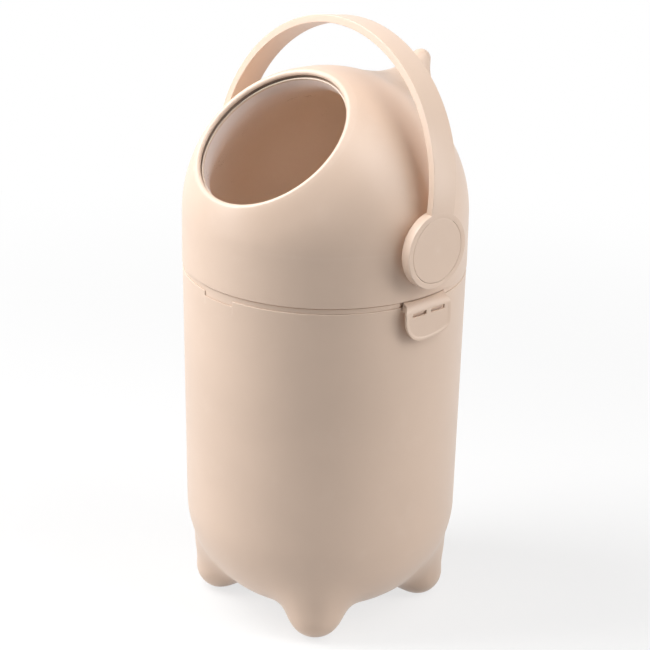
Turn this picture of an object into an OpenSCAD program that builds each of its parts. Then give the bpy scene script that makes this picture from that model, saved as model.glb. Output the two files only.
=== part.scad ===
// Nappy bin: a bucket on four moulded feet, a lift-off domed lid held by two side clips,
// and a carrying handle that turns a ball-shaped drum inside the dome.
// Millimetres. +Z is up, the ground is z = 0, the mouth faces -Y, the clips sit on +X and -X.

/* [Bucket] */

// Outer radius of the bucket at its rim
rim_radius = 135; // [115:1:150]
// Height of the rim above the ground
rim_height = 346; // [300:1:400]
// Thickness of the bucket's wall and floor
bucket_wall = 3; // [2:0.1:4]
// Draft of the bucket's side, degrees
side_draft = 0.92; // [0.2:0.02:2]
// Height of the underside of the bowl above the ground
belly_height = 8; // [6:0.2:30]
// Radius between the side and the underside
belly_radius = 98.4; // [70:0.2:110]
// Chamfer on the rim's outer edge
rim_chamfer = 0.8; // [0.3:0.1:1.2]

/* [Feet] */

// Distance of each foot's tip from the centre line
foot_offset = 98.5; // [85:0.1:105]
// Radius of a foot and of its round tip
foot_radius = 23.9; // [20:0.1:28]
// Width of a foot across, over its width outward
foot_spread = 1.075; // [1:0.005:1.3]
// Height over which a foot rises before it melts into the bowl
foot_rise = 20; // [10:1:60]
// How far a foot leans inward over that height
foot_lean = 1.7; // [0:0.1:6]
// Depth of the small flat on a foot's tip
foot_flat = 0.4; // [0.2:0.1:0.8]
// Size of the smooth blend from a foot into the bowl
foot_blend = 24.3; // [8:0.1:30]
// Wall left round the hollow of a foot
foot_wall = 3; // [2:0.1:5]

/* [Lid frame] */

// Gap between the bucket's rim and the lid frame
rim_gap = 0.3; // [0.2:0.05:0.6]
// Height of the band that shows between bucket and dome
band_height = 4.3; // [3:0.1:7]
// How far the band lies inside the bucket's outer face
band_inset = 0.8; // [0.4:0.1:1.5]
// Wall of the spigot that centres the lid in the bucket
spigot_wall = 2.5; // [1.8:0.1:3.5]
// Depth of the spigot below the rim
spigot_depth = 10; // [6:0.5:16]
// Clearance round the spigot
spigot_gap = 0.45; // [0.3:0.05:0.8]
// Width of the tongue at the front and the back of the band
tongue_width = 37; // [24:1:50]
// Drop of the tongue below the band
tongue_drop = 5; // [3:0.5:8]
// Clearance round the tongue in its notch
tongue_gap = 0.3; // [0.2:0.05:0.6]
// Thickness of the shelf that carries the drum's seal
shelf_thickness = 2.5; // [2:0.1:4]
// Gap between the shelf and the drum
shelf_gap = 3; // [2:0.1:5]
// Thickness of the clamp ring above the shelf
clamp_thickness = 2.5; // [2:0.1:4]
// Reach of the rubber wiper inside the clamp ring
wiper_width = 3.2; // [2:0.1:5]
// Width of the rubber ring round the spigot
gasket_width = 1.4; // [1:0.1:2]
// Height of the rubber ring round the spigot
gasket_height = 1.5; // [1:0.1:2.2]

/* [Lid screws] */

// Number of screws round the lid frame
screw_count = 6; // [4:2:8]
// Radius of a lid screw's shank
lid_screw_radius = 1.5; // [1.2:0.1:2]
// Radius of a lid screw's head
lid_screw_head = 2.8; // [2.2:0.1:3]
// Height of a lid screw's head
lid_screw_head_height = 2; // [1.4:0.1:2.6]
// Length of a lid screw below its head
lid_screw_length = 10; // [8:0.5:12]
// Radius of the boss that takes a lid screw
screw_boss_radius = 3.2; // [2.8:0.1:4]
// Height of that boss
screw_boss_height = 7.6; // [6:0.2:9]
// Gap between the boss and the drum
screw_boss_gap = 1.3; // [1:0.1:3]

/* [Dome] */

// How far the dome stands out past the bucket's rim
dome_overhang = 0.5; // [0.5:0.1:3]
// Height of the dome's straight skirt
skirt_height = 50.1; // [40:0.2:70]
// Thickness of the dome's wall
dome_wall = 2.6; // [2:0.1:3.6]
// Height of the thick seat ring at the foot of the skirt
seat_height = 4.5; // [3:0.1:7]

/* [Mouth] */

// Radius of the mouth between its lips
mouth_radius = 75.5; // [60:0.1:80]
// Angle of the mouth's axis above level, degrees
mouth_angle = 50.6; // [40:0.2:65]
// Radius of the rolled lip
lip_radius = 4; // [3:0.1:5]
// How far the lip stands out of the dome
lip_stand = 1.6; // [0:0.1:3]
// Depth of the lip below the dome's face
lip_depth = 4.9; // [4:0.1:7]
// Width of the rubber ring behind the lip
mouth_seal_width = 4.5; // [3:0.1:6]

/* [Rear nub] */

// Distance of the nub's tip behind the centre line
nub_back = 121.7; // [110:0.2:130]
// Height of the nub's tip centre above the dome's centre
nub_rise = 125.2; // [110:0.2:140]
// Radius of the nub's tip
nub_tip = 6.5; // [5:0.1:9]
// Radius of the nub's root at the back
nub_root = 23.2; // [18:0.1:30]
// Radius of the ridge that runs forward from the nub
nub_ridge = 20.8; // [14:0.1:26]
// Size of the smooth blend from the nub into the dome
nub_blend = 26; // [8:1:30]
// Wall left round the hollow of the nub
nub_wall = 3; // [2:0.1:4]

/* [Pivot] */

// Drop of the handle's axis below the dome's centre
pivot_drop = 1; // [0:0.1:6]
// Radius of the shaft's round journal
journal_radius = 11; // [8:0.5:13]
// Running clearance round the journal
journal_gap = 0.05; // [0.02:0.01:0.1]
// Wall of the bearing bush
bush_wall = 3; // [2:0.1:4]
// Width of the bush's flange past its wall
bush_flange = 4; // [2:0.5:5]
// Thickness of the bush's flange
bush_flange_thickness = 1; // [0.8:0.1:1.5]
// Corner radius of the six-sided key at each end of the shaft
key_radius = 9.4; // [7:0.1:10.5]
// Clearance round the key
key_gap = 0.12; // [0.1:0.01:0.3]
// Length of the key in the drum
drum_key_length = 3.9; // [3:0.1:13]
// Length of the key in the handle's hub
hub_key_length = 3.9; // [3:0.1:5]
// Face clearance between pieces stacked along the axis
face_gap = 0.3; // [0.15:0.05:0.5]
// Radius of the fixed boss under each hub
seat_boss_radius = 33; // [28:0.5:35]
// Thickness of that boss
seat_boss_thickness = 7.3; // [6:0.1:9]
// Width of the rib ring round the bush
bush_seat_wall = 3; // [2:0.1:5]

/* [Drum] */

// Gap between the drum and the dome's inner face at the axis
drum_gap = 3; // [2.5:0.1:7]
// Thickness of the drum's wall
drum_wall = 2.5; // [2:0.1:4]
// How much wider the drum's mouth is than the dome's
drum_mouth_margin = 1.6; // [0.5:0.1:4]
// Radius of the rolled rim round the drum's mouth
drum_rim_radius = 3.2; // [1.5:0.1:5]
// Running gap between the drum and its rubber rings
seal_gap = 0.3; // [0.2:0.05:0.5]
// Depth of the joint between the drum's ring and bowl below its centre
drum_joint = 18; // [16:0.5:60]
// Radius of the socket on each side of the drum
socket_radius = 15; // [12:0.5:18]
// Depth of that socket's block
socket_depth = 5.3; // [4.5:0.1:18]
// How far the socket's face stands out of the drum
socket_stand = 0.9; // [0.5:0.1:1.5]

/* [Handle] */

// Gap between the dome's side and the back of a hub
hub_stand = 3.4; // [1.5:0.1:4]
// Radius of a hub
hub_radius = 36.2; // [30:0.2:40]
// Thickness of a hub
hub_thickness = 9.8; // [8:0.1:13]
// Rounding of a hub's outer edge
hub_round = 2.5; // [1:0.1:3.5]
// How far the leg lies behind the hub's face
leg_inset = 0.5; // [0.2:0.1:1.5]
// Thickness of the handle's strap
strap_thickness = 7.2; // [5:0.1:10]
// Width of the strap at the hubs
strap_width = 29; // [22:0.5:36]
// Width of the strap at the top
strap_top_width = 28.5; // [16:0.5:32]
// Rounding of the strap's edges
strap_round = 2.6; // [1:0.1:3.2]
// Height of the arch's centre above the axis
arch_rise = 36; // [20:0.5:60]
// Lean of the handle behind upright, degrees
handle_lean = 9.35; // [0:0.05:15]

/* [Hub caps and screws] */

// Radius of the cap
cap_radius = 30.5; // [20:0.1:32]
// Thickness of the cap
cap_thickness = 1.7; // [1.2:0.1:2.5]
// Gap round the cap
cap_gap = 0.3; // [0.2:0.05:0.5]
// Radius of the hub screw's shank
hub_screw_radius = 2; // [1.5:0.1:3]
// Radius of the hub screw's head
hub_screw_head = 4.5; // [3.5:0.1:5]
// Height of the hub screw's head
hub_screw_head_height = 2.3; // [1.8:0.1:3]
// Length of the hub screw below its head
hub_screw_length = 17; // [12:0.5:20]
// Clearance round the hub screw's shank
hub_screw_gap = 0.1; // [0.05:0.05:0.3]

/* [Side clips] */

// Width of a clip
clip_width = 59; // [50:1:70]
// Length of a clip below its hinge
clip_length = 34.1; // [28:0.1:38]
// Thickness of a clip's plate
clip_thickness = 2.1; // [1.6:0.1:2.6]
// Gap between a clip and the bucket
clip_stand = 3.5; // [2:0.1:5]
// Radius of a clip's lower corners
clip_corner = 12; // [4:0.5:14]
// Width of the raised border
clip_border = 3.2; // [2:0.1:5]
// Height of the raised border
clip_border_height = 0.5; // [0.3:0.1:1]
// Depth of a clip's hinge inside the plate's outer face
hinge_inset = 4.6; // [4:0.1:5]
// Height of the hinge above the bucket's rim
hinge_rise = 1.3; // [1:0.1:1.6]
// Radius of the hinge pin
pin_radius = 0.9; // [0.7:0.05:1.1]
// Running clearance round the hinge pin
pin_gap = 0.05; // [0.02:0.01:0.1]
// Half the length of the hinge pin
pin_reach = 16; // [12:0.5:18]
// Wall of the hinge barrel
barrel_wall = 0.85; // [0.7:0.05:1]
// Half the width of the lug between the barrels
lug_half_width = 7.5; // [5:0.5:10]
// Radius of the lug's rounded nose
lug_nose = 1.5; // [1.3:0.1:1.7]
// Clearance round the lug
lug_gap = 0.3; // [0.2:0.05:0.5]
// Half the width of a clip's hood where it meets the dome
hood_half_width = 27; // [22:0.5:30]
// Thickness of the hood's upper edge
hood_edge = 1.2; // [1:0.1:2]
// Depth of the bay in the band behind the hood
bay_depth = 1.9; // [1.6:0.1:2.4]
// Radius that bows a clip's lower edge
clip_bow = 150; // [90:5:400]
// Extra room in the band beside each clip
clip_bay = 1; // [0.6:0.1:3]
// Width of each slot
slot_width = 17.3; // [12:0.1:20]
// Height of each slot
slot_height = 3.9; // [3:0.1:5]
// Space between the two slots
slot_space = 6.2; // [5:0.2:14]
// Drop of the slots' upper edge below the hinge
slot_drop = 6.6; // [5:0.1:12]
// Clearance between a catch and its slot
catch_gap = 0.3; // [0.2:0.05:0.6]
// How far a catch reaches into its slot
catch_reach = 0.45; // [0.3:0.05:0.6]

/* [Hidden] */

$fn = 120;
eps = 0.05;
shell_color = [0.91, 0.80, 0.72];
dark_color = [0.30, 0.27, 0.25];
metal_color = [0.72, 0.73, 0.75];
rubber_color = [0.62, 0.55, 0.50];

// heights
belly_top = belly_height + belly_radius;
band_low = rim_height + rim_gap;
seam = band_low + band_height;
dome_centre = seam + skirt_height;
axis_height = dome_centre - pivot_drop;
shelf_top = band_low + 0.2;
shelf_low = shelf_top - shelf_thickness;
clamp_top = shelf_top + clamp_thickness;

// radii
dome_radius = rim_radius + dome_overhang;
dome_inner = dome_radius - dome_wall;
drum_radius = dome_inner - pivot_drop - drum_gap;
drum_inner = drum_radius - drum_wall;
band_radius = rim_radius - band_inset;
spigot_radius = bucket_inner(rim_height - spigot_depth) - spigot_gap;
spigot_inner = spigot_radius - spigot_wall;
shelf_inner = ball_at(shelf_top, drum_radius) + shelf_gap;
boss_circle = ball_at(clamp_top + screw_boss_height, drum_radius) + screw_boss_gap + screw_boss_radius;

// places along the pivot axis
hub_back = dome_radius + hub_stand;
hub_face = hub_back + hub_thickness;
seat_face = hub_back - face_gap;
seat_back = seat_face - seat_boss_thickness;
socket_face = drum_radius + socket_stand;
journal_inner = socket_face + face_gap / 2;
journal_outer = hub_back - face_gap / 2;
cap_floor = hub_face - cap_thickness;
key_end = hub_back + hub_key_length;
screw_seat = cap_floor - face_gap - hub_screw_head_height;

// clips
clip_outer = rim_radius + clip_stand + clip_thickness;
hood_radius = dome_radius + 0.3;
clip_inner = rim_radius + clip_stand;
hinge_x = clip_outer - hinge_inset;
hinge_z = rim_height + hinge_rise;
clip_low = hinge_z - clip_length;
clip_high = seam - 0.35;
slot_high = hinge_z - slot_drop;
slot_low = slot_high - slot_height;

function bucket_outer(z) = rim_radius - (rim_height - z) * tan(side_draft);
function bucket_inner(z) = bucket_outer(z) - bucket_wall;
function ball_at(z, r) = sqrt(r * r - pow(axis_height - z, 2));
function clamp01(t) = min(1, max(0, t));
function smooth_min(a, b, k) = min(a, b) - pow(max(k - abs(a - b), 0), 2) / (4 * k);
function capsule(p, a, b, ra, rb) =
  let (d = b - a, t = clamp01(((p - a) * d) / (d * d)))
  norm(p - a - t * d) - (ra + (rb - ra) * t);

// distance from the plain bowl: straight side, round corner, flat underside
bowl_edge = bucket_outer(belly_top) - belly_radius;
function bowl_distance(r, z) =
  z >= belly_top ? r - bucket_outer(z) :
  r <= bowl_edge ? belly_height - z :
  norm([r - bowl_edge, z - belly_top]) - belly_radius;

foot_centre = foot_radius - foot_flat;
function foot_distance(x, y, z) =
  let (out = (abs(x) + abs(y)) / sqrt(2), across = (abs(x) - abs(y)) / sqrt(2) / foot_spread)
  capsule([out, across, z], [foot_offset, 0, foot_centre],
    [foot_offset - foot_lean, 0, foot_centre + foot_rise], foot_radius, foot_radius);
function base_distance(p) =
  smooth_min(bowl_distance(norm([p[0], p[1]]), p[2]), foot_distance(p[0], p[1], p[2]), foot_blend);
function base_hit(c, d, lo, hi, n) =
  n == 0 ? (lo + hi) / 2 :
  base_distance(c + d * (lo + hi) / 2) > 0 ? base_hit(c, d, lo, (lo + hi) / 2, n - 1)
  : base_hit(c, d, (lo + hi) / 2, hi, n - 1);

nub_top = [0, nub_back, nub_rise];
nub_heel = [0, dome_radius - nub_root - 0.7, nub_rise * 0.36];
nub_front = [0, nub_back * 0.66, nub_rise * 0.757];
function nub_distance(p) =
  smooth_min(capsule(p, nub_top, nub_heel, nub_tip, nub_root),
    capsule(p, nub_top, nub_front, nub_tip, nub_ridge), nub_blend / 2);
function crown_distance(p) = smooth_min(norm(p) - dome_radius, nub_distance(p), nub_blend);
function crown_hit(d, lo, hi, n) =
  n == 0 ? (lo + hi) / 2 :
  crown_distance(d * (lo + hi) / 2) > 0 ? crown_hit(d, lo, (lo + hi) / 2, n - 1)
  : crown_hit(d, (lo + hi) / 2, hi, n - 1);

// closed skin over rings of points, first ring to last, with flat ends
module skin(rings) {
  n = len(rings[0]);
  m = len(rings);
  pts = [for (r = rings) each r];
  sides = [for (i = [0 : m - 2], j = [0 : n - 1]) each [
    [i * n + j, i * n + (j + 1) % n, (i + 1) * n + (j + 1) % n],
    [i * n + j, (i + 1) * n + (j + 1) % n, (i + 1) * n + j]]];
  polyhedron(points = pts, faces = concat(sides,
    [[for (j = [n - 1 : -1 : 0]) j]], [[for (j = [0 : n - 1]) (m - 1) * n + j]]));
}

// lower end of the bucket with the four feet, as rings of points on rays from one centre
ray_height = 0.58 * rim_height;
ray_centre = [0, 0, ray_height];
base_steps = 96;
function foot_warp(i) = let (a = 360 * i / base_steps) a + 7.5 * sin(4 * a);
rim_step = 0.2; // the lofted end stays this far inside the turned side above it
ray_top = atan2(bucket_outer(belly_top) - rim_step, ray_height - belly_top);
ray_foot = atan2(foot_offset, ray_height);
// tilt of each ring past the foot's tip, closest where the foot touches the ground
ring_steps = [25.5, 22.4, 19, 15.8, 12.8, 10.4, 8.5, 6.9, 5.5, 4.2, 3, 1.8, 0.62,
  -0.62, -1.8, -3, -4.2, -5.5, -7, -9, -12, -16, -20.5];
ring_tilts = concat([ray_top],
  [for (s = ring_steps) ray_foot + s * (s > 0 ? (ray_top - ray_foot) / 28.3 : 1)], [2.5]);
module base_form() {
  skin([for (i = [0 : len(ring_tilts) - 1]) [for (j = [0 : base_steps - 1])
    let (a = foot_warp(j), b = ring_tilts[i], d = [sin(b) * cos(a), sin(b) * sin(a), -cos(b)],
      reach = base_hit(ray_centre, d, 0.2 * ray_height, 1.5 * ray_height, 18),
      t = i == 0 ? (ray_height - belly_top) / cos(b) : min(reach, ray_height / cos(b)))
    ray_centre + d * t]]);
}

module tube(r_out, r_in, z0, z1) {
  translate([0, 0, z0])
    difference() {
      cylinder(r = r_out, h = z1 - z0);
      translate([0, 0, -1])
        cylinder(r = r_in, h = z1 - z0 + 2);
    }
}

// along +X from x0 to x1, on the handle's axis
module axle(r, x0, x1) {
  translate([x0, 0, axis_height])
    rotate([0, 90, 0])
      cylinder(r = r, h = x1 - x0);
}

module hex_axle(r, x0, x1) {
  translate([x0, 0, axis_height])
    rotate([0, 90, 0])
      cylinder(r = r, h = x1 - x0, $fn = 6);
}

module bucket_hollow() {
  inner_corner = belly_radius - bucket_wall;
  arc = [for (i = [0 : 14]) let (a = 90 * i / 14)
    [bowl_edge + inner_corner * sin(a), belly_top - inner_corner * cos(a)]];
  rotate_extrude()
    polygon(concat([[0, belly_top - inner_corner]], arc,
      [[bucket_inner(rim_height + 2), rim_height + 2], [0, rim_height + 2]]));
  for (a = [45 : 90 : 315])
    rotate([0, 0, a])
      translate([foot_offset, 0, foot_centre]) {
        sphere(r = foot_radius - foot_wall);
        rotate([0, -27, 0])
          cylinder(r = foot_radius - foot_wall - 0.2, h = 46);
      }
}

module catch(side_angle) {
  // two low wedges that fill the slots of a closed clip
  foot_z = slot_low + catch_gap;
  top_z = slot_high - catch_gap;
  width = slot_width - 4 * catch_gap;
  back = rim_radius - 4;
  for (s = [-1, 1])
    rotate([0, 0, side_angle])
      translate([0, s * (slot_space + slot_width) / 2 + width / 2, 0])
        rotate([90, 0, 0])
          linear_extrude(width)
            polygon([[back, foot_z - 8], [rim_radius - 1.2, foot_z - 8], [clip_inner - catch_gap, foot_z],
              [clip_inner + catch_reach, top_z], [back, top_z]]);
}

module bin_body() {
  color(shell_color)
    difference() {
      union() {
        base_form();
        rotate_extrude()
          polygon([[bucket_inner(belly_top - 6) - 1, belly_top - 6],
            [bucket_outer(belly_top) - 1.2, belly_top - 6],
            [bucket_outer(belly_top) - 1.2, belly_top], [bucket_outer(belly_top), belly_top],
            [bucket_outer(rim_height - rim_chamfer), rim_height - rim_chamfer],
            [rim_radius - rim_chamfer, rim_height], [bucket_inner(rim_height), rim_height]]);
        catch(0);
        catch(180);
      }
      bucket_hollow();
      for (s = [-1, 1])
        translate([-tongue_width / 2 - tongue_gap, s * rim_radius - 8, rim_height - tongue_drop])
          cube([tongue_width + 2 * tongue_gap, 16, tongue_drop + 1]);
    }
}

module rim_gasket() {
  color(rubber_color)
    tube(gasket_outer, gasket_outer - gasket_width, gasket_low, gasket_low + gasket_height);
}
gasket_low = rim_height - spigot_depth + 1.5;
gasket_outer = bucket_inner(gasket_low) - 0.3;

module lid_frame() {
  bay = hood_half_width + clip_bay;
  color(shell_color)
    difference() {
      union() {
        tube(band_radius, spigot_radius - 0.5, band_low, seam);
        tube(spigot_radius, spigot_inner, rim_height - spigot_depth, seam);
        tube(spigot_inner + 0.5, shelf_inner, shelf_low, shelf_top);
        intersection() {
          tube(band_radius, spigot_radius - 0.5, rim_height - tongue_drop + tongue_gap, seam);
          translate([-tongue_width / 2, -rim_radius - 5, 0])
            cube([tongue_width, 2 * rim_radius + 10, seam]);
        }
        for (s = [-1, 1])
          scale([s, 1, 1]) {
            translate([spigot_radius - 1, -lug_half_width, band_low])
              cube([hinge_x - spigot_radius + 1, 2 * lug_half_width, hinge_z + 0.4 - band_low]);
            translate([hinge_x, lug_half_width, hinge_z])
              rotate([90, 0, 0])
                cylinder(r = lug_nose, h = 2 * lug_half_width);
          }
      }
      // groove for the gasket, round the spigot
      tube(gasket_outer + 1, gasket_outer - gasket_width - eps, gasket_low - eps,
        gasket_low + gasket_height + eps);
      for (s = [-1, 1])
        scale([s, 1, 1]) {
          // bays beside and above the lug, for the clip's barrels and its hood
          for (t = [-1, 1])
            intersection() {
              tube(band_radius + 1, band_radius - bay_depth, band_low - 1, seam + 1);
              translate([0, t > 0 ? lug_half_width : -bay, 0])
                cube([rim_radius + 5, bay - lug_half_width, seam + 5]);
            }
          intersection() {
            tube(hinge_x - lug_nose - 0.05, band_radius - bay_depth, hinge_z + 0.4, seam + 1);
            translate([0, -lug_half_width - 1, 0])
              cube([rim_radius + 5, 2 * lug_half_width + 2, seam + 5]);
          }
          translate([hinge_x, pin_reach, hinge_z])
            rotate([90, 0, 0])
              cylinder(r = pin_radius + pin_gap, h = 2 * pin_reach);
        }
      lid_screw_holes(shelf_low - 1, shelf_top + 1);
    }
}

module lid_screw_places() {
  for (i = [0 : screw_count - 1])
    rotate([0, 0, 360 * (i + 0.5) / screw_count])
      translate([boss_circle, 0, 0])
        children();
}

module lid_screw_holes(z0, z1) {
  lid_screw_places()
    translate([0, 0, z0])
      cylinder(r = lid_screw_radius + eps, h = z1 - z0);
}

module seal_clamp() {
  color(dark_color)
    difference() {
      tube(spigot_inner - 0.4, shelf_inner + 1, shelf_top, clamp_top);
      lid_screw_holes(shelf_top - 1, clamp_top + 1);
    }
}

module drum_wiper() {
  // sits on the shelf, inside the clamp ring, and follows the drum
  color(rubber_color)
    difference() {
      tube(shelf_inner + 0.9, ball_at(shelf_top, drum_radius) - 1, shelf_top + 0.1, clamp_top);
      translate([0, 0, axis_height])
        sphere(r = drum_radius + seal_gap, $fn = 400);
    }
}

module lid_screws() {
  color(metal_color)
    lid_screw_places() {
      translate([0, 0, shelf_low])
        cylinder(r = lid_screw_radius, h = lid_screw_length);
      difference() {
        translate([0, 0, shelf_low - lid_screw_head_height])
          cylinder(r = lid_screw_head, h = lid_screw_head_height);
        translate([0, 0, shelf_low - lid_screw_head_height - 1])
          cylinder(r = lid_screw_head / 2, h = 1 + lid_screw_head_height / 2, $fn = 6);
      }
    }
}

module mouth_axis() {
  translate([0, 0, dome_centre])
    rotate([90 - mouth_angle, 0, 0])
      children();
}
lip_ring = mouth_radius + lip_radius;
lip_height = sqrt(pow(dome_radius + 0.1 - lip_radius, 2) - pow(lip_ring, 2)) + lip_stand;
lip_floor = dome_radius - lip_depth;

nub_near = 0.9 * dome_radius;
nub_far = 1.9 * dome_radius;
module nub_form() {
  steps = 40;
  rings = 18;
  reach = 46;
  skirt = dome_radius - dome_wall / 2;
  tip_angle = atan2(nub_rise, nub_back);
  translate([0, 0, dome_centre])
    rotate([tip_angle - 90, 0, 0])
      skin(concat(
        [[for (j = [0 : steps - 1]) let (a = -360 * j / steps, b = reach)
          skirt * [sin(b) * cos(a), sin(b) * sin(a), cos(b)]]],
        [for (i = [rings : -1 : 1]) [for (j = [0 : steps - 1])
          let (a = -360 * j / steps, b = reach * pow(i / rings, 1.5),
            v = [sin(b) * cos(a), sin(b) * sin(a), cos(b)],
            c = tip_angle - 90,
            d = [v[0], v[1] * cos(c) - v[2] * sin(c), v[1] * sin(c) + v[2] * cos(c)])
          v * (i == rings ? dome_radius - 0.35
            : crown_hit(d, nub_near, nub_far, 18) - 0.1 * pow(i / rings, 2))]]));
}

module nub_hollow() {
  from = [0, nub_back * 0.83, nub_rise * 0.6];
  to = [0, nub_back - 1.5, nub_rise - 8.5];
  lean = atan2(to[1] - from[1], to[2] - from[2]);
  translate([0, 0, dome_centre])
    translate(from)
      rotate([-lean, 0, 0]) {
        cylinder(r1 = nub_tip * 2 + 1.6, r2 = nub_tip + 1.2 - nub_wall, h = norm(to - from));
        translate([0, 0, norm(to - from)])
          sphere(r = nub_tip + 1.2 - nub_wall);
      }
}

module dome_shell() {
  color(shell_color) {
    difference() {
      union() {
        difference() {
          union() {
            translate([0, 0, seam])
              cylinder(r = dome_radius, h = skirt_height);
            intersection() {
              translate([0, 0, dome_centre])
                sphere(r = dome_radius);
              translate([0, 0, dome_centre - 1])
                cylinder(r = dome_radius + 5, h = dome_radius + 10);
            }
            nub_form();
          }
          translate([0, 0, seam - 1])
            cylinder(r = dome_inner, h = skirt_height + 1);
          translate([0, 0, dome_centre])
            sphere(r = dome_inner);
          nub_hollow();
          mouth_axis()
            cylinder(r = lip_ring, h = dome_radius + 10);
        }
        // rolled lip of the mouth
        difference() {
          mouth_axis()
            translate([0, 0, lip_height])
              rotate_extrude()
                translate([lip_ring, 0])
                  circle(r = lip_radius, $fn = 48);
          translate([0, 0, dome_centre])
            sphere(r = lip_floor);
        }
        // seat ring that rests on the band
        translate([0, 0, seam])
          rotate_extrude()
            polygon([[spigot_radius + 0.3, 0], [dome_radius - 0.5, 0], [dome_radius - 0.5, seat_height + 2],
              [dome_inner - 0.2, seat_height + 2], [spigot_radius + 0.3, seat_height]]);
        // bosses for the lid screws, each with a rib to the wall
        lid_screw_places() {
          translate([0, 0, clamp_top])
            cylinder(r = screw_boss_radius, h = screw_boss_height);
          translate([0, -1.5, seam + 1])
            cube([dome_inner - boss_circle + 0.5, 3, clamp_top + screw_boss_height - seam - 1]);
        }
        for (s = [-1, 1])
          scale([s, 1, 1])
            axle(seat_boss_radius, seat_back, seat_face);
      }
      for (s = [-1, 1])
        scale([s, 1, 1]) {
          axle(journal_radius + journal_gap + bush_wall, seat_back - 1, seat_face + 1);
          difference() {
            axle(seat_boss_radius - 3, seat_back - 1, seat_back + 4);
            axle(journal_radius + bush_wall + bush_seat_wall, seat_back - 2, seat_back + 5);
          }
        }
      lid_screw_holes(clamp_top - 1, shelf_low + lid_screw_length + 0.3);
    }
  }
}

module mouth_seal() {
  color(rubber_color)
    difference() {
      intersection() {
        translate([0, 0, dome_centre])
          sphere(r = lip_floor - 0.1);
        mouth_axis()
          tube(mouth_radius + 1.3 + mouth_seal_width, mouth_radius + 1.3, 60, 140);
      }
      translate([0, 0, axis_height])
        sphere(r = drum_radius + seal_gap);
    }
}

module bush() {
  color(dark_color)
    difference() {
      union() {
        axle(journal_radius + journal_gap + bush_wall, seat_back - bush_flange_thickness, seat_face);
        axle(journal_radius + bush_wall + bush_flange, seat_back - bush_flange_thickness, seat_back);
      }
      axle(journal_radius + journal_gap, seat_back - 3, seat_face + 1);
    }
}

module bush_right() {
  bush();
}

module bush_left() {
  mirror([1, 0, 0])
    bush();
}

module clip_outline(inset) {
  // a plate seen along X: wide in Y, with two round lower corners and a bowed lower edge
  w = clip_width / 2 - inset;
  r = clip_corner - inset;
  low = clip_low + inset;
  intersection() {
    union() {
      translate([0, -w, low + r])
        cube([rim_radius + 20, 2 * w, hinge_z - low - r]);
      translate([0, -w + r, low])
        cube([rim_radius + 20, 2 * w - 2 * r, hinge_z - low]);
      for (s = [-1, 1])
        translate([0, s * (w - r), low + r])
          rotate([0, 90, 0])
            cylinder(r = r, h = rim_radius + 20);
    }
    translate([0, 0, low + clip_bow])
      rotate([0, 90, 0])
        cylinder(r = clip_bow, h = rim_radius + 20, $fn = 360);
  }
}

module clip_hood() {
  // the upper part, from the dome's lower edge out to the flat plate
  reach = asin(hood_half_width / hood_radius);
  arc = [for (i = [-8 : 8]) [hood_radius * cos(reach * i / 8), hood_radius * sin(reach * i / 8)]];
  back = hood_radius * cos(reach) - 2;
  difference() {
    hull() {
      translate([0, 0, clip_high - 0.3])
        linear_extrude(0.3)
          polygon(concat(arc, [[back, hood_half_width], [back, -hood_half_width]]));
      translate([hinge_x, -hood_half_width - 1, hinge_z + 0.1])
        cube([clip_outer - 0.8 - hinge_x, 2 * hood_half_width + 2, 0.3]);
      translate([clip_inner, -clip_width / 2, hinge_z - 3.4])
        cube([clip_thickness, clip_width, 0.2]);
    }
    cylinder(r = hood_radius - hood_edge, h = 2 * rim_height);
    cylinder(r = rim_radius + 0.9, h = band_low);
  }
}

module clip() {
  barrel = pin_radius + pin_gap + barrel_wall;
  color(shell_color)
    difference() {
      union() {
        intersection() {
          translate([clip_inner, -clip_width, clip_low - 1])
            cube([clip_thickness, 2 * clip_width, hinge_z - 3.3 - clip_low + 1]);
          clip_outline(0);
        }
        difference() {
          intersection() {
            translate([clip_outer - 0.5, -clip_width, clip_low - 1])
              cube([0.5 + clip_border_height, 2 * clip_width, hinge_z - 4.5 - clip_low + 1]);
            clip_outline(0);
          }
          clip_outline(clip_border);
        }
        clip_hood();
        translate([hinge_x, pin_reach, hinge_z])
          rotate([90, 0, 0])
            cylinder(r = barrel, h = 2 * pin_reach);
      }
      // room for the lug, and the pin's bore
      translate([hinge_x, lug_half_width + lug_gap, hinge_z])
        rotate([90, 0, 0])
          cylinder(r = lug_nose + lug_gap, h = 2 * (lug_half_width + lug_gap));
      translate([0, -lug_half_width - lug_gap, hinge_z - lug_nose - lug_gap])
        cube([hinge_x, 2 * (lug_half_width + lug_gap), 10]);
      translate([hinge_x, pin_reach + eps, hinge_z])
        rotate([90, 0, 0])
          cylinder(r = pin_radius + pin_gap, h = 2 * pin_reach + 2 * eps);
      for (s = [-1, 1])
        translate([rim_radius - 10, s * (slot_space + slot_width) / 2 - slot_width / 2, slot_low])
          cube([30, slot_width, slot_height]);
    }
}

module clip_right() {
  clip();
}

module clip_left() {
  mirror([1, 0, 0])
    clip();
}

module clip_pin() {
  color(metal_color)
    translate([hinge_x, pin_reach, hinge_z])
      rotate([90, 0, 0])
        cylinder(r = pin_radius, h = 2 * pin_reach);
}

module clip_pin_right() {
  clip_pin();
}

module clip_pin_left() {
  mirror([1, 0, 0])
    clip_pin();
}

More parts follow.
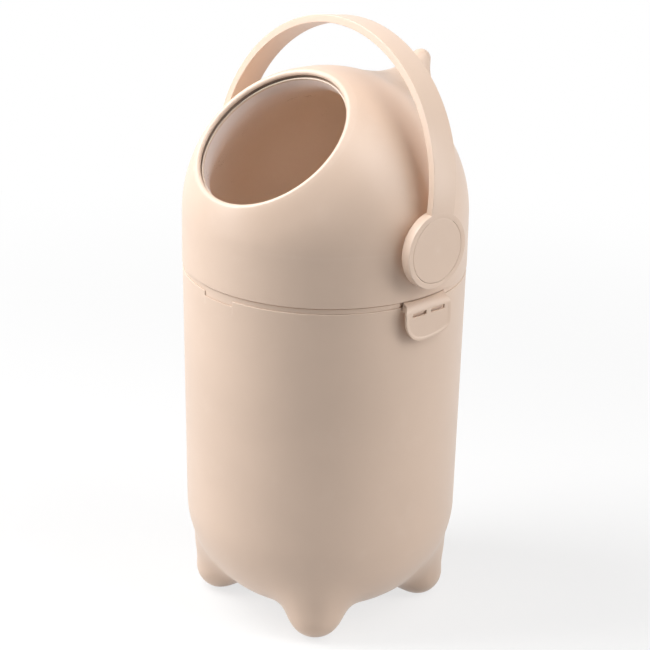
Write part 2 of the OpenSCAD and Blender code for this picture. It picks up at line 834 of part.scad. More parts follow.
strap_outer = hub_face - leg_inset;
strap_middle = strap_outer - strap_thickness / 2;
module strap() {
  corner_steps = 4;
  arch_steps = 48;
  // one rounded section, u across the thickness, v across the width
  function section(w) = [for (q = [0 : 3], k = [0 : corner_steps])
    let (a = 90 * q + 90 * k / corner_steps,
      cu = (q == 0 || q == 3 ? 1 : -1) * (strap_thickness / 2 - strap_round),
      cv = (q < 2 ? 1 : -1) * (w / 2 - strap_round))
    [cu + strap_round * cos(a), cv + strap_round * sin(a)]];
  function width_at(h) = strap_width + (strap_top_width - strap_width) * pow(clamp01(h), 2);
  function station(x, z, a, w) = [for (p = section(w)) [x + p[0] * cos(a), p[1], z + p[0] * sin(a)]];
  skin(concat(
    [station(-strap_middle, 8, 180, strap_width)],
    [for (i = [arch_steps : -1 : 0]) let (a = 180 * i / arch_steps)
      station(strap_middle * cos(a), arch_rise + strap_middle * sin(a), a, width_at(sin(a)))],
    [station(strap_middle, 8, 0, strap_width)]));
}

module hub() {
  axle(hub_radius, hub_back, hub_face - hub_round);
  axle(hub_radius - hub_round, hub_back, hub_face);
  translate([hub_face - hub_round, 0, axis_height])
    rotate([0, 90, 0])
      rotate_extrude()
        translate([hub_radius - hub_round, 0])
          circle(r = hub_round, $fn = 48);
}

module handle() {
  color(shell_color)
    difference() {
      union() {
        translate([0, 0, axis_height])
          rotate([-handle_lean, 0, 0])
            strap();
        for (s = [-1, 1])
          scale([s, 1, 1])
            hub();
      }
      for (s = [-1, 1])
        scale([s, 1, 1]) {
          axle(cap_radius + cap_gap, cap_floor, hub_face + 5);
          axle(hub_screw_head + 0.4, screw_seat, hub_face);
          axle(hub_screw_radius + hub_screw_gap, hub_back - 1, hub_face);
          hex_axle(key_radius + key_gap, hub_back - 1, key_end + face_gap / 2);
        }
    }
}

module hub_cap() {
  color(shell_color)
    axle(cap_radius, cap_floor, hub_face);
}

module hub_cap_right() {
  hub_cap();
}

module hub_cap_left() {
  mirror([1, 0, 0])
    hub_cap();
}

module hub_screw() {
  color(metal_color)
    difference() {
      union() {
        axle(hub_screw_radius, screw_seat - hub_screw_length, screw_seat + 0.5);
        axle(hub_screw_head, screw_seat, screw_seat + hub_screw_head_height);
      }
      hex_axle(hub_screw_head / 2, screw_seat + hub_screw_head_height / 2, hub_face);
    }
}

module hub_screw_right() {
  hub_screw();
}

module hub_screw_left() {
  mirror([1, 0, 0])
    hub_screw();
}

module drive_shaft() {
  color(dark_color)
    difference() {
      union() {
        hex_axle(key_radius, journal_inner - drum_key_length, key_end);
        axle(journal_radius, journal_inner, journal_outer);
      }
      axle(hub_screw_radius + hub_screw_gap, screw_seat - hub_screw_length - 0.5, hub_face);
    }
}

module drive_shaft_right() {
  drive_shaft();
}

module drive_shaft_left() {
  mirror([1, 0, 0])
    drive_shaft();
}

drum_mouth = mouth_radius + drum_mouth_margin;
module drum_axis() {
  translate([0, 0, axis_height])
    rotate([90 - mouth_angle, 0, 0])
      children();
}

module drum_ring() {
  rim_ring = drum_mouth + drum_rim_radius;
  rim_reach = drum_radius - drum_rim_radius;
  color(shell_color)
    difference() {
      union() {
        difference() {
          translate([0, 0, axis_height])
            sphere(r = drum_radius);
          translate([0, 0, axis_height])
            sphere(r = drum_inner);
          drum_axis()
            cylinder(r = drum_radius * rim_ring / rim_reach - 0.3, h = drum_radius + 5);
          drum_axis()
            translate([0, 0, -drum_joint - drum_radius - 5])
              cylinder(r = drum_radius + 5, h = drum_radius + 5);
        }
        // rolled rim
        drum_axis()
          translate([0, 0, sqrt(rim_reach * rim_reach - rim_ring * rim_ring)])
            rotate_extrude()
              translate([rim_ring, 0])
                circle(r = drum_rim_radius + 0.03, $fn = 40);
        for (s = [-1, 1])
          scale([s, 1, 1])
            axle(socket_radius, socket_face - socket_depth, socket_face);
      }
      for (s = [-1, 1])
        scale([s, 1, 1])
          hex_axle(key_radius + key_gap, journal_inner - drum_key_length - face_gap, socket_face + 1);
    }
}

module drum_bowl() {
  color(shell_color)
    difference() {
      translate([0, 0, axis_height])
        sphere(r = drum_radius);
      translate([0, 0, axis_height])
        sphere(r = drum_inner);
      drum_axis()
        translate([0, 0, -drum_joint])
          cylinder(r = drum_radius + 5, h = 2 * drum_radius);
    }
}

bin_body();
rim_gasket();
lid_frame();
seal_clamp();
drum_wiper();
lid_screws();
dome_shell();
mouth_seal();
bush_right();
bush_left();
clip_right();
clip_left();
clip_pin_right();
clip_pin_left();
handle();
hub_cap_right();
hub_cap_left();
hub_screw_right();
hub_screw_left();
drive_shaft_right();
drive_shaft_left();
drum_ring();
drum_bowl();
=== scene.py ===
import math

import bmesh
import bpy
import numpy as np
from mathutils import Matrix, Vector


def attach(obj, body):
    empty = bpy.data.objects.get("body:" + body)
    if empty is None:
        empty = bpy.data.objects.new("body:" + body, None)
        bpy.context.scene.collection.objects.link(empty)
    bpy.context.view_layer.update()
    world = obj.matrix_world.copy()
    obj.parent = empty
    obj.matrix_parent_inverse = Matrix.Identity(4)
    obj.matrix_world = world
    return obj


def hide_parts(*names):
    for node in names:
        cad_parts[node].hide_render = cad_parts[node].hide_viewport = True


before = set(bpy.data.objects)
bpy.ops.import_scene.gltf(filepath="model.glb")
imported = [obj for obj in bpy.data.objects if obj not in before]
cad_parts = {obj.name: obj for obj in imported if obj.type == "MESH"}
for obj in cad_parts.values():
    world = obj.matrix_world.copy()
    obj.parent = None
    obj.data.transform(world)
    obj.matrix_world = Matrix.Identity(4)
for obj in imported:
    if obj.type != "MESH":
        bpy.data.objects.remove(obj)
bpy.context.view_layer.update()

MM = 0.001

# ---------------------------------------------------------------- camera, floor and paints
PHOTO_WIDTH, SENSOR_WIDTH, FOCAL_PIXELS = 650.0, 36.0, 2452.92
CAMERA_PLACE = (1.59733, -1.50628, 1.15319)
CAMERA_RIGHT, CAMERA_BACK = (0.68153, 0.73159, 0.01719), (0.67585, -0.63827, 0.36856)
CAMERA_SIDE = 46.6
FLOOR_HALF, FLOOR_DROP, FLOOR_BOUNCE, FLOOR_PAPER, FLOOR_WHITE = 14.0, 0.0002, 0.66, 0.97, 0.72
SHELL, SHELL_WORN = (0.780, 0.595, 0.470), (0.860, 0.700, 0.590)
# the drum's third colour is painted light: a paler tone for its inside near the mouth, standing in for the
# light and sheen that fall in there
DRUM, DRUM_WORN, DRUM_PAINTED_LIGHT = (0.86, 0.69, 0.56), (0.92, 0.80, 0.70), (0.95, 0.86, 0.83)
INNER, INNER_WORN = (0.075, 0.065, 0.058), (0.14, 0.12, 0.11)
SEAL, STEEL, STEEL_STAIN = (0.30, 0.23, 0.185), (0.60, 0.61, 0.63), (0.42, 0.42, 0.43)

# ---------------------------------------------------------------- sizes, in millimetres, as in the solids
# bucket: rim, notches for the tongues, bowl and feet
RIM_RADIUS, RIM_HEIGHT, WALL, DRAFT = 135.0, 346.0, 3.0, math.tan(math.radians(0.92))
RIM_ROUND, NOTCH_ROUND, BUCKET_MIDDLE = 0.7, 0.15, 200.0
TONGUE_WIDTH, TONGUE_GAP, TONGUE_DROP, TONGUE_SHADOW = 37.0, 0.1, 5.0, 0.35
BELLY_HEIGHT, BELLY_RADIUS = 8.0, 98.4
FOOT_OFFSET, FOOT_RADIUS, FOOT_FLAT, FOOT_BLEND = 98.5, 23.9, 0.4, 24.3
FOOT_SPREAD, FOOT_RISE, FOOT_LEAN = 1.075, 20.0, 1.7
# dome: skirt over the seam, mouth with its lip (angle in degrees above the level), rear nub
SEAM, SKIRT, SKIRT_GROOVE, SKIRT_ROUND = 350.6, 50.1, 0.9, 0.4
GROOVE_RADIUS, SKIRT_FOOT, SKIRT_BORE = 133.3, 133.1, 131.75
DOME_CENTRE = SEAM + SKIRT
DOME_RADIUS, DOME_WALL = 135.5, 2.6
PIVOT = DOME_CENTRE - 1.0
MOUTH_RADIUS, MOUTH_ANGLE, LIP_RADIUS, LIP_DEPTH, LIP_STAND = 75.5, 50.6, 3.5, 4.9, 0.6
FLARE_WIDTH = 22.0
NUB_BACK, NUB_RISE, NUB_TIP, NUB_ROOT, NUB_RIDGE, NUB_BLEND = 121.7, 125.2, 6.5, 23.2, 20.8, 26.0
# drum: ball, rim, sockets for the shafts, and the soft swell inside over each socket
DRUM_RADIUS, DRUM_WALL, DRUM_MOUTH, DRUM_RIM = 128.9, 2.5, 74.3, 0.8
SOCKET_RADIUS, SOCKET_DEPTH, SOCKET_STAND, SOCKET_BORE = 15.0, 5.3, 0.9, 9.6
SWELL, SWELL_ANGLE = 2.05, 17.0
# how thick its mouth is inside the wall, at depths below the rim
THROAT_DEPTH = [0, 6, 12, 18, 24, 32, 40, 48, 56, 66, 78, 92, 104, 116]
THROAT_FILL = [-2.2, 5.6, 11.6, 15.2, 17.0, 17.2, 15.4, 12.8, 10.2, 7.2, 4.2, 1.6, 0.5, 0]
THROAT_END = 114
# how deep the painted light reaches inside the drum's mouth (a paler colour standing in for the light and
# sheen that fall in there), and by how much that changes round the mouth
PAINTED_LIGHT_DEPTH, PAINTED_LIGHT_TURN, PAINTED_LIGHT_POWER = 80.0, 42.0, 1.3
# hubs, their caps and seats on the dome, and the arched strap
HUB_BACK, HUB_FACE, HUB_RADIUS, HUB_ROUND = 138.9, 148.7, 36.2, 0.6
CAP_RADIUS, CAP_THICKNESS, CAP_GAP = 30.5, 1.7, 0.3
SEAT_RADIUS, SEAT_FACE, SEAT_BORE, SEAT_ROUND = 29.0, 138.6, 14.1, 0.8
STRAP_OUTER, STRAP_THICKNESS, STRAP_WIDTH, STRAP_TOP_WIDTH = 148.2, 7.2, 29.0, 28.5
STRAP_ROUND, ARCH_RISE, HANDLE_LEAN = 0.6, 36.0, 9.35
# side clips: plate with a raised border, hood over the seam, room for the lug, slots and the catches in them
CLIP_INNER, CLIP_OUTER, BORDER_HEIGHT, BORDER_WIDTH, BORDER_SLOPE = 138.5, 140.6, 0.5, 2.2, 1.8
CLIP_HALF, CLIP_LOW, CLIP_HIGH, CLIP_BOW = 29.2, 311.6, 350.9, 66.0
CLIP_FRONT_CORNER, CLIP_BACK_CORNER, CLIP_EDGE = 17.0, 5.5, 0.5
HOOD_HALF, HOOD_RADIUS, HOOD_EDGE, HOOD_LOW, HOOD_BEND = 27.0, 135.8, 1.2, 343.9, 341.0
HINGE_X, HINGE_Z, LUG_HALF, LUG_ROOM = 136.0, 347.3, 7.8, 1.8
SLOT_WIDTH, SLOT_HEIGHT, SLOT_SPACE, SLOT_HIGH, SLOT_CORNER = 17.3, 3.9, 6.2, 340.7, 0.7
CATCH_ROOT = 131.2


# ---------------------------------------------------------------- shader maths written as expressions
class Val:
    """A socket of a node tree that can be used in Python expressions."""

    def __init__(self, tree, socket):
        self.tree = tree
        self.socket = socket

    def _math(self, kind, other, clamp=False):
        return node(self.tree, "ShaderNodeMath", {"operation": kind, "use_clamp": clamp}, {0: self, 1: other})

    def __add__(self, other):
        return self._math("ADD", other)

    __radd__ = __add__

    def __mul__(self, other):
        return self._math("MULTIPLY", other)

    __rmul__ = __mul__

    def __sub__(self, other):
        return self._math("SUBTRACT", other)

    def __rsub__(self, other):
        return (self * -1.0) + other

    def clamp(self):
        """Held between 0 and 1."""
        return self._math("ADD", 0.0, clamp=True)

    def step(self, low, high):
        """0 below low, 1 above high, smooth between."""
        return node(self.tree, "ShaderNodeMapRange", {"interpolation_type": "SMOOTHSTEP"},
                    {0: self, 1: low, 2: high, 3: 0.0, 4: 1.0})


def put(tree, socket, value):
    """Links a value's socket to a node's socket, or sets a plain number or colour on it."""
    if isinstance(value, Val):
        tree.links.new(value.socket, socket)
    elif hasattr(socket.default_value, "__len__") and len(socket.default_value) == 4 and len(value) == 3:
        socket.default_value = (*value, 1.0)
    else:
        socket.default_value = value


def node(tree, kind, settings=None, values=None, out=0):
    """Adds a node: its settings by name, its sockets' links or values by name or number."""
    made = tree.nodes.new(kind)
    for name, value in (settings or {}).items():
        setattr(made, name, value)
    for key, value in (values or {}).items():
        put(tree, made.inputs[key], value)
    return Val(tree, made.outputs[out] if made.outputs else None)


def mix_colour(tree, share, one, two, how="MIX"):
    return node(tree, "ShaderNodeMix", {"data_type": "RGBA", "blend_type": how},
                {0: share, 6: one, 7: two}, out=2)


def object_place(tree):
    return node(tree, "ShaderNodeTexCoord", out=3)


def noise(tree, place, scale, detail, rough):
    return node(tree, "ShaderNodeTexNoise", None,
                {"Vector": place, "Scale": scale, "Detail": detail, "Roughness": rough})


def surface(tree, colour, roughness, height, bump, fixed):
    """A shader with colour and roughness from nodes, height as bump (strength, distance), the rest fixed."""
    relief = node(tree, "ShaderNodeBump", None, {"Strength": bump[0], "Distance": bump[1], "Height": height})
    return node(tree, "ShaderNodeBsdfPrincipled", None,
                {"Base Color": colour, "Roughness": roughness, "Normal": relief, **fixed})


def show(tree, shader):
    node(tree, "ShaderNodeOutputMaterial", None, {"Surface": shader})


def new_material(name):
    material = bpy.data.materials.new(name)
    material.use_nodes = True
    material.node_tree.nodes.clear()
    return material, material.node_tree


def moulded_plastic(name, colour, worn, gloss=0.36, pale=None):
    """Satin moulded plastic: fine spark-eroded grain, faint flow marks, paler and smoother edges.
    With a painted-light colour given, the surface takes that colour where its painted-light value is 1:
    painted light, a paler tone standing in for light and sheen."""
    material, tree = new_material(name)
    place = object_place(tree)
    fine = noise(tree, place, 2600.0, 2.0, 0.6)
    small = noise(tree, place, 700.0, 3.0, 0.55)
    broad = noise(tree, place, 9.0, 3.0, 0.5)
    flow = noise(tree, place, 42.0, 4.0, 0.6)
    scuff = noise(tree, place, 160.0, 5.0, 0.65)
    edge = node(tree, "ShaderNodeAttribute", {"attribute_name": "edge"}, out=2)
    darker = tuple(c * 0.93 for c in colour)
    tone = mix_colour(tree, broad.step(0.35, 0.65) * 0.5, colour, darker)
    tone = mix_colour(tree, flow.step(0.55, 0.75) * 0.10, tone, worn)
    if pale:
        # painted light: where the mesh asks for it, a paler colour is laid over the plastic to stand for
        # light and sheen
        share = node(tree, "ShaderNodeAttribute", {"attribute_name": "pale"}, out=2)
        tone = mix_colour(tree, share.clamp(), tone, pale)
    worn_share = (edge * (scuff.step(0.3, 0.7) * 0.6 + 0.4)).clamp() * 0.45
    tone = mix_colour(tree, worn_share, tone, worn)
    rough = gloss + (flow - 0.5) * 0.10 + (small - 0.5) * 0.10 - edge.clamp() * 0.06
    rough = rough + scuff.step(0.62, 0.8) * 0.05
    height = fine * 0.5 + small * 0.5 + flow * 0.8
    show(tree, surface(tree, tone, rough.clamp(), height, (0.16, 0.00012), {"IOR": 1.49}))
    return material


def rubber(name, colour):
    """Soft matt rubber with fine pores and a little dust."""
    material, tree = new_material(name)
    place = object_place(tree)
    dust = noise(tree, place, 60.0, 5.0, 0.6)
    pore = noise(tree, place, 900.0, 2.0, 0.5)
    dusty = tuple(min(1.0, c * 1.35 + 0.03) for c in colour)
    tone = mix_colour(tree, dust.step(0.5, 0.72) * 0.35, colour, dusty)
    rough = (0.72 + (pore - 0.5) * 0.2).clamp()
    show(tree, surface(tree, tone, rough, pore * 0.7 + dust * 0.3, (0.3, 0.0002), {"IOR": 1.45}))
    return material


def turned_steel(name):
    """Bare steel with fine turning lines and a few stains."""
    material, tree = new_material(name)
    place = object_place(tree)
    lines = node(tree, "ShaderNodeTexWave", {"wave_type": "RINGS", "rings_direction": "SPHERICAL"},
                 {"Vector": place, "Scale": 900.0, "Distortion": 1.5, "Detail": 2.0}, out=1)
    stain = noise(tree, place, 220.0, 4.0, 0.6)
    tone = mix_colour(tree, stain.step(0.5, 0.75) * 0.4, STEEL, STEEL_STAIN)
    rough = (0.28 + stain * 0.18).clamp()
    show(tree, surface(tree, tone, rough, lines * 0.6 + stain * 0.4, (0.25, 0.0001), {"Metallic": 1.0}))
    return material


def seen_directly(tree):
    """1 for what the camera or a reflection sees, 0 for light that falls on the object."""
    camera = node(tree, "ShaderNodeLightPath", out=0)
    glossy = node(tree, "ShaderNodeLightPath", out=3)
    return (camera + glossy).clamp()


def floor_paint(name):
    """Matt paper: it bounces light softly, and the camera sees it near white with the object's shadow."""
    material, tree = new_material(name)
    place = object_place(tree)
    soft = noise(tree, place, 1.2, 2.0, 0.5)
    tooth = noise(tree, place, 900.0, 2.0, 0.5)
    seen = seen_directly(tree)
    tone = mix_colour(tree, seen, (FLOOR_BOUNCE,) * 3, (FLOOR_PAPER,) * 3)
    tone = mix_colour(tree, soft * 0.3, tone, (FLOOR_PAPER * 0.99,) * 3, how="MULTIPLY")
    rough = (0.86 + (soft - 0.5) * 0.04).clamp()
    matt = surface(tree, tone, rough, tooth, (0.02, 0.0001), {"Specular IOR Level": 0.1})
    white = node(tree, "ShaderNodeEmission", None, {"Color": (1, 1, 1), "Strength": 1.0})
    away = node(tree, "ShaderNodeVectorMath", {"operation": "LENGTH"}, {0: place}, out=1)
    share = seen * (FLOOR_WHITE + away.step(0.35, 1.3) * (1.0 - FLOOR_WHITE))
    show(tree, node(tree, "ShaderNodeMixShader", None, {0: share, 1: matt, 2: white}))
    return material


# ---------------------------------------------------------------- building meshes from grids of points
def unit(v):
    return v / np.linalg.norm(v, axis=-1, keepdims=True)


def edge_weight(points, wrap_rows):
    """How sharply the grid turns at each point, 0 to 1, for the paler moulded edges."""
    def turn(p, axis, wrap):
        before, after = np.roll(p, 1, axis), np.roll(p, -1, axis)
        a, b = p - before, after - p
        la, lb = np.linalg.norm(a, axis=-1), np.linalg.norm(b, axis=-1)
        cosine = (a * b).sum(-1) / np.maximum(la * lb, 1e-12)
        angle = np.arccos(np.clip(cosine, -1, 1))
        bend = angle / np.maximum((la + lb) / 2, 0.15)
        if not wrap:
            index = [slice(None)] * 2
            index[axis] = [0, -1]
            bend[tuple(index)] = 0
        return bend
    bend = np.maximum(turn(points, 0, wrap_rows), turn(points, 1, True))
    return np.clip((bend - 0.12) / 0.6, 0, 1)


def turned(profile, steps):
    """A profile of (radius, height) turned about +Z, as rows of points."""
    prof, a = np.array(profile), np.linspace(0, 2 * np.pi, steps, endpoint=False)
    return np.stack([prof[:, None, 0] * np.cos(a), prof[:, None, 0] * np.sin(a),
                     np.broadcast_to(prof[:, None, 1], (len(prof), len(a)))], -1)


class Build:
    """Collects grids of points, in millimetres, into one mesh object. Its "edge" value marks the bends."""

    def __init__(self, name):
        self.name, self.points, self.faces, self.edge, self.count = name, [], [], [], 0

    def grid(self, points, wrap_rows=False, flip=False, closed=(False, False), weight=None):
        """Rows of points round the form, each closed on itself; the end rows can be closed with a fan."""
        p = np.asarray(points, float)
        rows, cols = p.shape[:2]
        index = np.arange(rows * cols).reshape(rows, cols) + self.count
        i0 = index if wrap_rows else index[:-1]
        i1 = np.roll(index, -1, 0) if wrap_rows else index[1:]
        quads = np.stack([i0, np.roll(i0, -1, 1), np.roll(i1, -1, 1), i1], -1).reshape(-1, 4)
        self.faces += (quads[:, ::-1] if flip else quads).tolist()
        ends = []
        if closed[0]:
            ends.append(index[0] if flip else index[0][::-1])
        if closed[1]:
            ends.append(index[-1][::-1] if flip else index[-1])
        self.points.append(p.reshape(-1, 3))
        self.edge.append((edge_weight(p, wrap_rows) if weight is None else weight).ravel())
        self.count += rows * cols
        for ring in ends:
            middle = p.reshape(-1, 3)[ring - (self.count - rows * cols)].mean(0)
            self.points.append(middle[None])
            self.edge.append(np.zeros(1))
            self.faces += [[ring[k], ring[(k + 1) % len(ring)], self.count] for k in range(len(ring))]
            self.count += 1

    def turn(self, profile, steps, side):
        """A profile of (radius, distance from the middle) turned about the pivot axis, on side 1 or -1."""
        p = turned(profile, steps)
        place = on_pivot(side)
        self.grid(p @ place[:3, :3].T + place[:3, 3], closed=(profile[0][0] > 1e-6, profile[-1][0] > 1e-6))

    def make(self, material, body, replaces, sharp):
        mesh = bpy.data.meshes.new(self.name)
        mesh.from_pydata((np.concatenate(self.points) * MM).tolist(), [], self.faces)
        attribute = mesh.attributes.new("edge", "FLOAT", "POINT")
        attribute.data.foreach_set("value", np.concatenate(self.edge).astype(np.float32))
        mesh.validate(clean_customdata=False)
        mesh.shade_smooth()
        mesh.set_sharp_from_angle(angle=math.radians(sharp))
        piece = bpy.data.objects.new(self.name, mesh)
        bpy.context.scene.collection.objects.link(piece)
        mesh.materials.append(material)
        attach(piece, body)
        if replaces:
            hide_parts(*replaces)
        return piece


def arc(centre, radius, start, end, steps):
    """Points on an arc, from one angle in degrees to another."""
    a = np.radians(np.linspace(start, end, steps + 1))
    return [(centre[0] + radius * math.cos(t), centre[1] + radius * math.sin(t)) for t in a]


def rot_x(degrees, origin=(0, 0, 0)):
    return np.array(Matrix.Translation(origin) @ Matrix.Rotation(math.radians(degrees), 4, "X"))


def on_pivot(side):
    """Turns +Z onto +X (side 1) or -X (side -1), with the dome's pivot as the origin."""
    return np.array(Matrix.Translation((0, 0, PIVOT)) @ Matrix.Rotation(math.radians(90 * side), 4, "Y"))


# ---------------------------------------------------------------- forms shared by the solids and the looks
def bucket_outer(z):
    return RIM_RADIUS - (RIM_HEIGHT - z) * DRAFT


def smooth_min(a, b, k):
    h = np.maximum(k - np.abs(a - b), 0)
    return np.minimum(a, b) - h * h / (4 * k)


def capsule(p, a, b, ra, rb):
    a, b = np.array(a, float), np.array(b, float)
    d = b - a
    t = np.clip(((p - a) @ d) / (d @ d), 0, 1)
    return np.linalg.norm(p - a - t[..., None] * d, axis=-1) - (ra + (rb - ra) * t)


BELLY_TOP = BELLY_HEIGHT + BELLY_RADIUS
BOWL_EDGE = bucket_outer(BELLY_TOP) - BELLY_RADIUS


def base_distance(p):
    """How far outside the bucket a point is: drafted wall, rounded bowl and four feet."""
    r, z = np.hypot(p[..., 0], p[..., 1]), p[..., 2]
    side = r - bucket_outer(z)
    corner = np.hypot(r - BOWL_EDGE, z - BELLY_TOP) - BELLY_RADIUS
    bowl = np.where(z >= BELLY_TOP, side, np.where(r <= BOWL_EDGE, BELLY_HEIGHT - z, corner))
    x, y = np.abs(p[..., 0]), np.abs(p[..., 1])
    q = np.stack([(x + y) / math.sqrt(2), (x - y) / math.sqrt(2) / FOOT_SPREAD, z], -1)
    c = FOOT_RADIUS - FOOT_FLAT
    high = (FOOT_OFFSET - FOOT_LEAN, 0, c + FOOT_RISE)
    foot = capsule(q, (FOOT_OFFSET, 0, c), high, FOOT_RADIUS, FOOT_RADIUS)
    return smooth_min(bowl, foot, FOOT_BLEND)


def crown_distance(p):
    """How far outside the dome a point is, measured from the dome's centre: ball and rear nub."""
    ball = np.linalg.norm(p, axis=-1) - DOME_RADIUS
    top = (0, NUB_BACK, NUB_RISE)
    heel = (0, DOME_RADIUS - NUB_ROOT - 0.7, NUB_RISE * 0.36)
    front = (0, NUB_BACK * 0.66, NUB_RISE * 0.757)
    nub = smooth_min(capsule(p, top, heel, NUB_TIP, NUB_ROOT), capsule(p, top, front, NUB_TIP, NUB_RIDGE),
                     NUB_BLEND / 2)
    # a fuller back, from the tip down to where the nub runs into the dome
    spine = capsule(p, (0, NUB_BACK + 0.6, NUB_RISE - 2), (0, NUB_BACK - 6.2, NUB_RISE - 42), 6.8, 21.5)
    return smooth_min(ball, smooth_min(nub, spine, 3.0), NUB_BLEND)


def hit(field, centre, directions, low, high, level=0.0):
    """Where rays from one centre leave a form, by halving."""
    lo = np.full(directions.shape[:-1], float(low))
    hi = np.full(directions.shape[:-1], float(high))
    for _ in range(26):
        mid = (lo + hi) / 2
        outside = field(centre + directions * mid[..., None]) > level
        hi = np.where(outside, mid, hi)
        lo = np.where(outside, lo, mid)
    return (lo + hi) / 2


# ---------------------------------------------------------------- materials
shell_paint = moulded_plastic("beige_moulded_plastic", SHELL, SHELL_WORN)
# the drum's paint also carries painted light: a paler colour inside its mouth for the light and sheen that
# fall in there
drum_paint_with_painted_light = moulded_plastic("beige_drum_plastic_with_painted_light", DRUM, DRUM_WORN, gloss=0.30, pale=DRUM_PAINTED_LIGHT)
inner_paint = moulded_plastic("dark_inner_plastic", INNER, INNER_WORN, gloss=0.5)
seal_paint = rubber("soft_seal_rubber", SEAL)
steel_paint = turned_steel("plain_screw_steel")

for name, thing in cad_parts.items():
    thing.data.materials.clear()
    if name in ("rim_gasket", "drum_wiper", "mouth_seal"):
        thing.data.materials.append(seal_paint)
    elif name in ("lid_screws", "hub_screw_right", "hub_screw_left", "clip_pin_right", "clip_pin_left"):
        thing.data.materials.append(steel_paint)
    elif name in ("seal_clamp", "bush_right", "bush_left", "drive_shaft_right", "drive_shaft_left"):
        thing.data.materials.append(inner_paint)
    else:
        thing.data.materials.append(shell_paint)


# ---------------------------------------------------------------- camera, at the photograph's angle
right = Vector(CAMERA_RIGHT).normalized()
back = Vector(CAMERA_BACK).normalized()
up = back.cross(right).normalized()
camera = bpy.data.objects.new("camera", bpy.data.cameras.new("camera"))
bpy.context.scene.collection.objects.link(camera)
camera.data.sensor_fit = "HORIZONTAL"
camera.data.sensor_width = SENSOR_WIDTH
camera.data.lens = FOCAL_PIXELS * SENSOR_WIDTH / PHOTO_WIDTH
camera.data.clip_end = 60.0
place = Matrix((right, up, back)).transposed().to_4x4()
place.translation = Vector(CAMERA_PLACE)
camera.matrix_world = place
bpy.context.scene.camera = camera


# ---------------------------------------------------------------- bucket with its moulded feet
def column_angles(steps, marks, gap=0.06):
    """Even angles in degrees, with close pairs on each side of the marks."""
    even = np.linspace(0, 360, steps, endpoint=False)
    extra = np.array([m + s for m in marks for s in (-gap / 2, gap / 2)]) % 360
    keep = [a for a in even if np.min(np.abs((a - extra + 180) % 360 - 180)) > 0.35]
    return np.sort(np.concatenate([keep, extra]))


def make_bucket():
    half = math.degrees(math.asin((TONGUE_WIDTH / 2 + TONGUE_GAP) / RIM_RADIUS))
    marks = [270 - half, 270 + half + TONGUE_SHADOW, 90 - half, 90 + half]
    degrees = column_angles(320, marks)
    a = np.radians(degrees)
    recess = (degrees > marks[0]) & (degrees < marks[1]) | (degrees > marks[2]) & (degrees < marks[3])
    top = np.where(recess, RIM_HEIGHT - TONGUE_DROP, RIM_HEIGHT)
    edge = np.where(recess, NOTCH_ROUND, RIM_ROUND)
    # bowl and feet: rays from the bucket's middle, closest together over the feet
    centre = np.array([0, 0, BUCKET_MIDDLE])
    ray_top = math.degrees(math.atan2(bucket_outer(BELLY_TOP), BUCKET_MIDDLE - BELLY_TOP))
    tilt = np.radians(np.concatenate([np.linspace(0.6, 17, 12), np.linspace(18, 36, 46),
                                      np.linspace(36.6, ray_top, 26)]))
    d = np.stack([np.sin(tilt)[:, None] * np.cos(a), np.sin(tilt)[:, None] * np.sin(a),
                  np.broadcast_to(-np.cos(tilt)[:, None], (len(tilt), len(a)))], -1)
    reach = np.minimum(hit(base_distance, centre, d, 60, 300), BUCKET_MIDDLE / np.cos(tilt)[:, None])
    outer_low = centre + d * reach[..., None]
    inner_low = centre + d * hit(base_distance, centre, d, 60, 300, -WALL)[..., None]

    def ring(radius, height):
        return np.stack([radius * np.cos(a), radius * np.sin(a), height + 0 * a], -1)

    rows = list(outer_low)
    even = RIM_HEIGHT - 14    # above this height the rows follow the notches
    for z in np.linspace(BELLY_TOP + 4, even, 26):
        rows.append(ring(bucket_outer(z), np.full_like(a, z)))
    for t in np.linspace(0, 1, 7)[1:]:
        z = even + (top - edge - even) * t
        rows.append(ring(bucket_outer(z), z))
    face = bucket_outer(top)
    for q in np.radians(np.linspace(0, 90, 6)[1:]):
        rows.append(ring(face - edge + edge * math.cos(q), top - edge + edge * math.sin(q)))
    for q in np.radians(np.linspace(90, 180, 6)):
        rows.append(ring(face - WALL + edge + edge * math.cos(q), top - edge + edge * math.sin(q)))
    for t in np.linspace(1, 0, 7)[1:]:
        z = even + (top - edge - even) * t
        rows.append(ring(bucket_outer(z) - WALL, z))
    for z in np.linspace(even - 2, BELLY_TOP + 4, 20):
        rows.append(ring(bucket_outer(z) - WALL, np.full_like(a, z)))
    rows += list(inner_low[::-1])
    build = Build("bucket")
    build.grid(rows, closed=(True, True))
    build.make(shell_paint, "bin", ["bin_body"], sharp=40)


